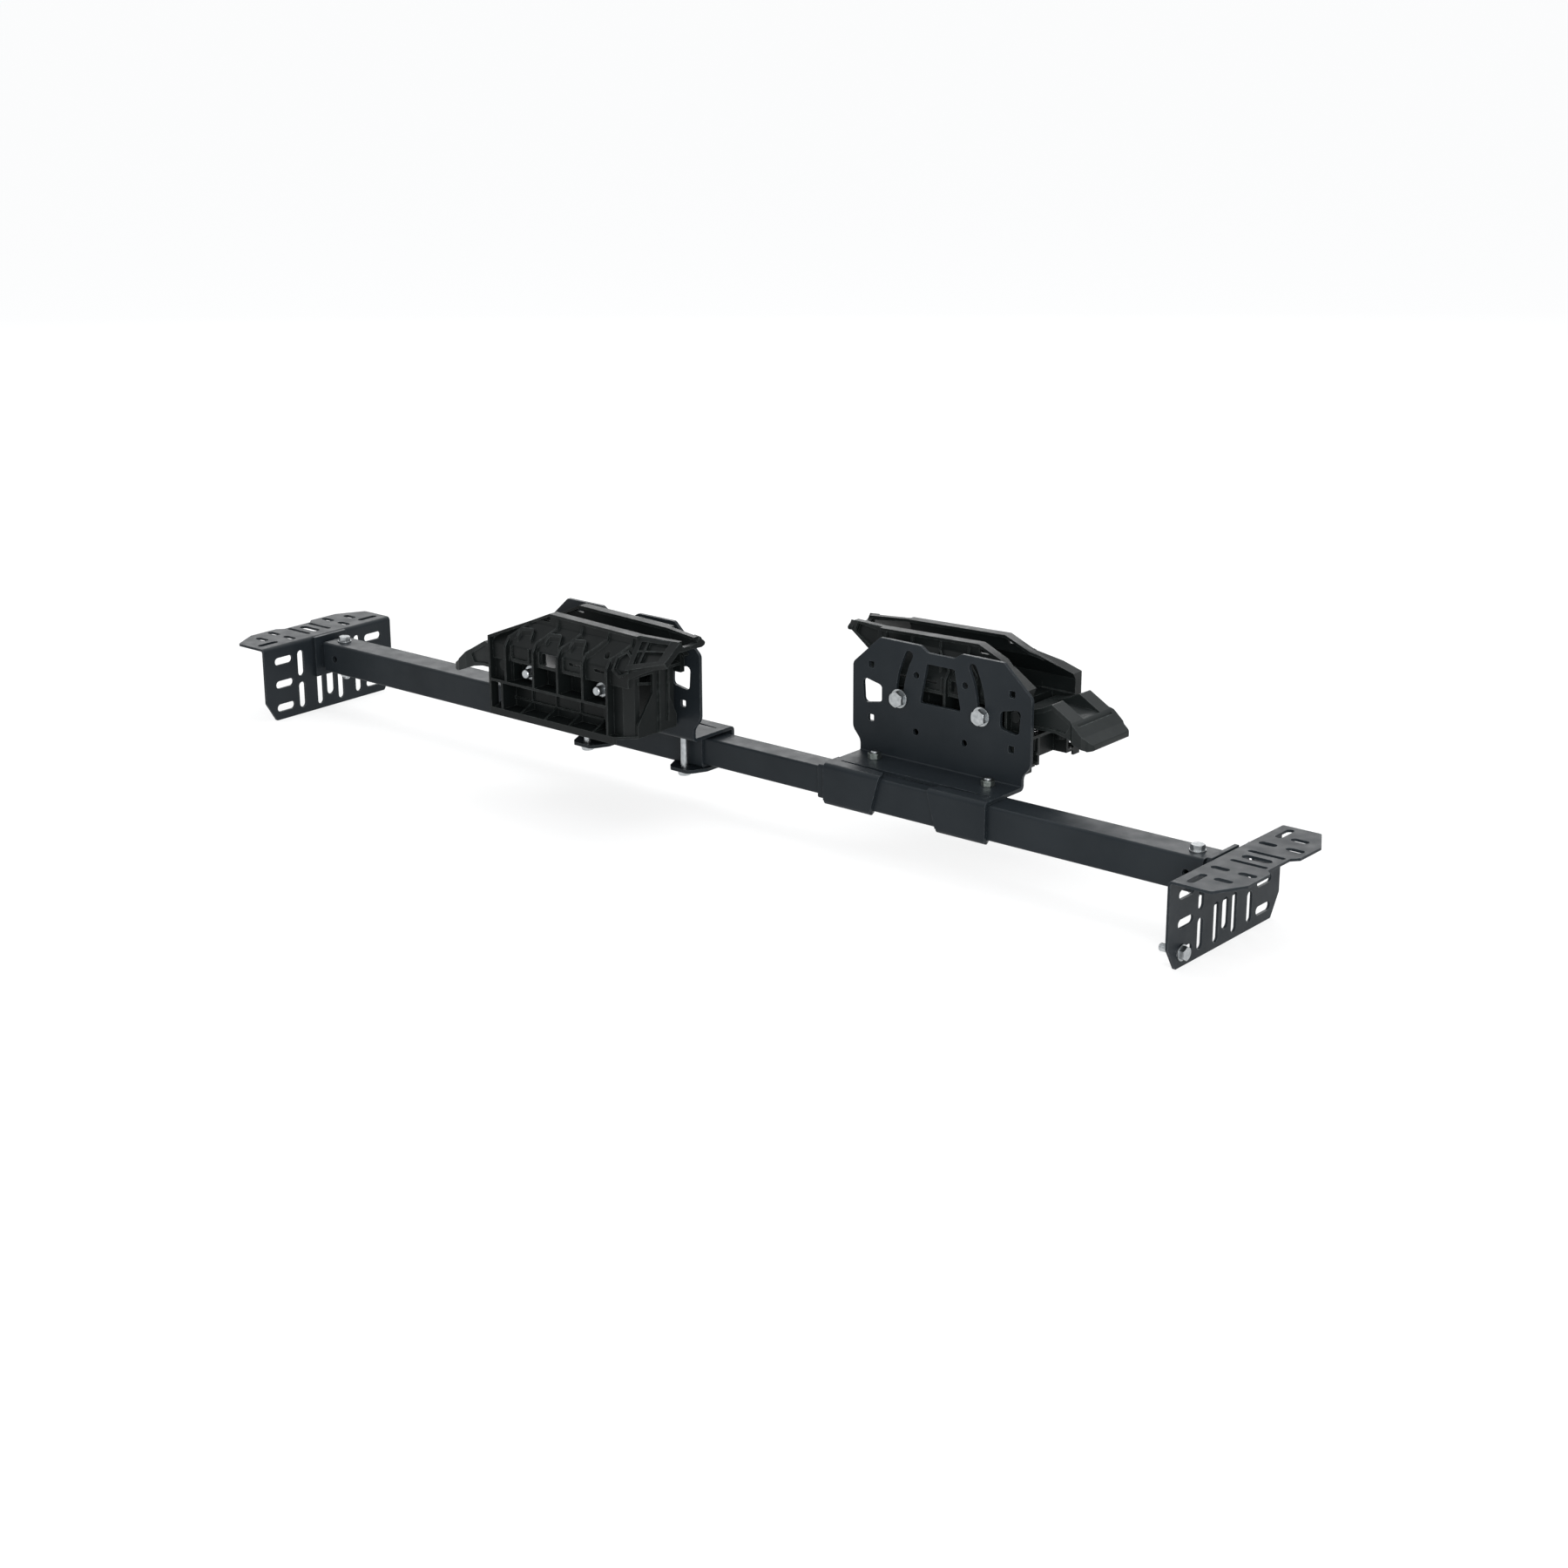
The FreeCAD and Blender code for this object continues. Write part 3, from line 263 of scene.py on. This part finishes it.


# The third colour of each coated finish is its edge colour: rubbed wear plus a painted highlight.
MATERIALS = {
    "powder_coat": coated("powder_coat", (0.0100, 0.0132, 0.0160), (0.0145, 0.0182, 0.0215),
                          (0.060, 0.068, 0.074), 0.42, 1500.0, 0.00006, 0.13),
    "black_plastic": coated("black_plastic", (0.0040, 0.0052, 0.0052), (0.0066, 0.0083, 0.0083),
                            (0.046, 0.053, 0.052), 0.44, 2200.0, 0.00004, 0.15),
    "lever_plastic": coated("lever_plastic", (0.0070, 0.0092, 0.0092), (0.0102, 0.0130, 0.0130),
                            (0.048, 0.056, 0.055), 0.46, 2200.0, 0.00004, 0.22),
    "zinc_plate": zinc("zinc_plate", (0.36, 0.38, 0.39), (0.48, 0.50, 0.51), 0.34),
    "dark_zinc": zinc("dark_zinc", (0.24, 0.27, 0.25), (0.33, 0.37, 0.35), 0.36),
    "spring_steel": zinc("spring_steel", (0.36, 0.36, 0.37), (0.46, 0.46, 0.47), 0.32),
}
SLOT_OF = {row["node"]: row["material_slot"] for row in frame["record"]["subparts"]}


def soften(node, width):
    """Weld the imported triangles, merge flat ones and round the edges."""
    weld = node.modifiers.new("weld", "WELD")
    weld.merge_threshold = 1e-6
    flat = node.modifiers.new("flat", "DECIMATE")
    flat.decimate_type = "DISSOLVE"
    flat.angle_limit = math.radians(1.0)
    bevel = node.modifiers.new("bevel", "BEVEL")
    bevel.width = width
    bevel.segments = 2
    bevel.limit_method = "ANGLE"
    bevel.angle_limit = math.radians(32)
    bevel.harden_normals = False
    for polygon in node.data.polygons:
        polygon.use_smooth = True
    smooth = node.modifiers.new("normals", "WEIGHTED_NORMAL")
    smooth.keep_sharp = True


EDGE = {"powder_coat": 0.5 * MM, "black_plastic": 0.6 * MM, "lever_plastic": 1.0 * MM,
        "zinc_plate": 0.25 * MM, "dark_zinc": 0.25 * MM, "spring_steel": 0.0}
for name, node in NODES.items():
    slot = SLOT_OF[name]
    node.data.materials.clear()
    node.data.materials.append(MATERIALS[slot])
    if EDGE[slot] > 0:
        soften(node, EDGE[slot])


# ---- added pieces: threads on the bolt ends, coiled springs -------------
# Sizes in mm, from the tube's axis, as on the right side.
AXIS_Z = 70.0
SADDLE_X = {"right": 277.0, "left": -102.5}
CLAMP_X, CLAMP_Y, CLAMP_END, CLAMP_RADIUS, CLAMP_PITCH = (-75.0, 75.0), 26.0, (29.9, 31.4), 4.0, 0.9
TILT_X, TILT_Z, TILT_END, TILT_RADIUS, TILT_PITCH = (-54.0, 54.0), 91.0, (135.5, 143.6), 5.0, 1.5
TUBE_END_X, TUBE_END, TUBE_END_RADIUS, TUBE_END_PITCH = 623.0, (-28.2, -25.7), 4.0, 1.25
MOUNTING_AT, MOUNTING_END = ((-79.5, -55.0), (79.5, 5.0)), (634.2, 654.0)
MOUNTING_RADIUS, MOUNTING_PITCH = 4.0, 1.25
THREAD_SIDES, THREAD_STEPS, THREAD_LIFT, THREAD_DEPTH = 24, 4, 0.02, 0.2
SPRING_X, SPRING_Y, SPRING_FOOT, SPRING_TOP = 101.0, (72.5, 120.8), 60.0, 84.0
SPRING_RADIUS, SPRING_WIRE, SPRING_PITCH, SPRING_KEEP = 3.0, 0.6, 3.0, 0.70
COIL_STEPS, WIRE_SIDES = 28, 10


def add_piece(name, shape, body, slot):
    verts, faces = shape
    mesh = bpy.data.meshes.new(name)
    mesh.from_pydata([tuple(c * MM for c in v) for v in verts], [], faces)
    mesh.materials.append(MATERIALS[slot])
    for polygon in mesh.polygons:
        polygon.use_smooth = True
    piece = bpy.data.objects.new(name, mesh)
    bpy.context.scene.collection.objects.link(piece)
    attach(piece, body)
    return piece


def rings_to_faces(rings, around):
    faces = []
    for i in range(rings - 1):
        for j in range(around):
            k = (j + 1) % around
            faces.append((i * around + j, i * around + k, (i + 1) * around + k, (i + 1) * around + j))
    return faces


def thread(centre, axis, span, radius, pitch):
    """Fine ridges wound round a bolt shank of that radius, along the span of the axis."""
    lo, hi = span
    steps = int(round((hi - lo) / pitch * THREAD_STEPS))
    verts = []
    for i in range(steps + 1):
        for j in range(THREAD_SIDES):
            turn = 2 * math.pi * j / THREAD_SIDES
            phase = (i / THREAD_STEPS + j / THREAD_SIDES) % 1.0
            crest = 1.0 - abs(2.0 * phase - 1.0)
            fade = min(1.0, i / 2.0, (steps - i) / 2.0)
            r = radius + THREAD_LIFT + THREAD_DEPTH * crest * fade
            a, b, c = r * math.cos(turn), r * math.sin(turn), lo + (hi - lo) * i / steps
            local = {"X": (c, a, b), "Y": (a, c, b), "Z": (a, b, c)}[axis]
            verts.append(tuple(p + q for p, q in zip(centre, local)))
    return verts, rings_to_faces(steps + 1, THREAD_SIDES)


def coil(x, y):
    """Compression spring with flat closed ends, as one tube along a helix."""
    turns = (SPRING_TOP - SPRING_FOOT) / SPRING_PITCH + 2.0
    steps = int(turns * COIL_STEPS)
    rise = SPRING_TOP - SPRING_FOOT - 2 * SPRING_WIRE
    verts = []
    for i in range(steps + 1):
        t = turns * i / steps
        z = SPRING_FOOT + SPRING_WIRE + rise * min(max((t - 1.0) / (turns - 2.0), 0.0), 1.0)
        angle = 2 * math.pi * t
        out = Vector((math.cos(angle), math.sin(angle), 0.0))
        for j in range(WIRE_SIDES):
            a = 2 * math.pi * j / WIRE_SIDES
            verts.append(tuple(Vector((x, y, z)) + out * (SPRING_RADIUS + SPRING_WIRE * math.cos(a))
                               + Vector((0, 0, SPRING_WIRE * math.sin(a)))))
    faces = rings_to_faces(steps + 1, WIRE_SIDES)
    faces.append(tuple(range(WIRE_SIDES))[::-1])
    faces.append(tuple(range(steps * WIRE_SIDES, (steps + 1) * WIRE_SIDES)))
    return verts, faces


def seated(side, points, base=0.0):
    """Points from the tube's axis at x = base; the left side is turned by half a turn."""
    k = 1 if side == "right" else -1
    return [(base + k * x, k * y, z + AXIS_Z) for x, y, z in points]


def joined(side, shapes, base=0.0):
    verts, faces = [], []
    for v, f in shapes:
        faces += [tuple(i + len(verts) for i in face) for face in f]
        verts += v
    return seated(side, verts, base), faces


for side, base in SADDLE_X.items():
    clamps = [thread((x, CLAMP_Y, 0.0), "Z", CLAMP_END, CLAMP_RADIUS, CLAMP_PITCH) for x in CLAMP_X]
    add_piece(side + "_clamp_threads", joined(side, clamps, base), side + "_saddle", "zinc_plate")
    tilts = [thread((x, 0.0, TILT_Z), "Y", TILT_END, TILT_RADIUS, TILT_PITCH) for x in TILT_X]
    add_piece(side + "_tilt_threads", joined(side, tilts, base), side + "_cradle", "zinc_plate")
    tube_end = thread((TUBE_END_X, 0.0, 0.0), "Z", TUBE_END, TUBE_END_RADIUS, TUBE_END_PITCH)
    add_piece(side + "_end_thread", joined(side, [tube_end]), side + "_arm", "zinc_plate")
    coils = joined(side, [coil(SPRING_X, y) for y in SPRING_Y], base)
    springs = add_piece(side + "_spring_coils", coils, side + "_cradle", "spring_steel")
    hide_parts(side + "_lever_springs")
    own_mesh(springs)
mountings = [thread((0.0, y, z), "X", MOUNTING_END, MOUNTING_RADIUS, MOUNTING_PITCH) for y, z in MOUNTING_AT]
add_piece("right_mounting_threads", joined("right", mountings), "right_arm", "zinc_plate")
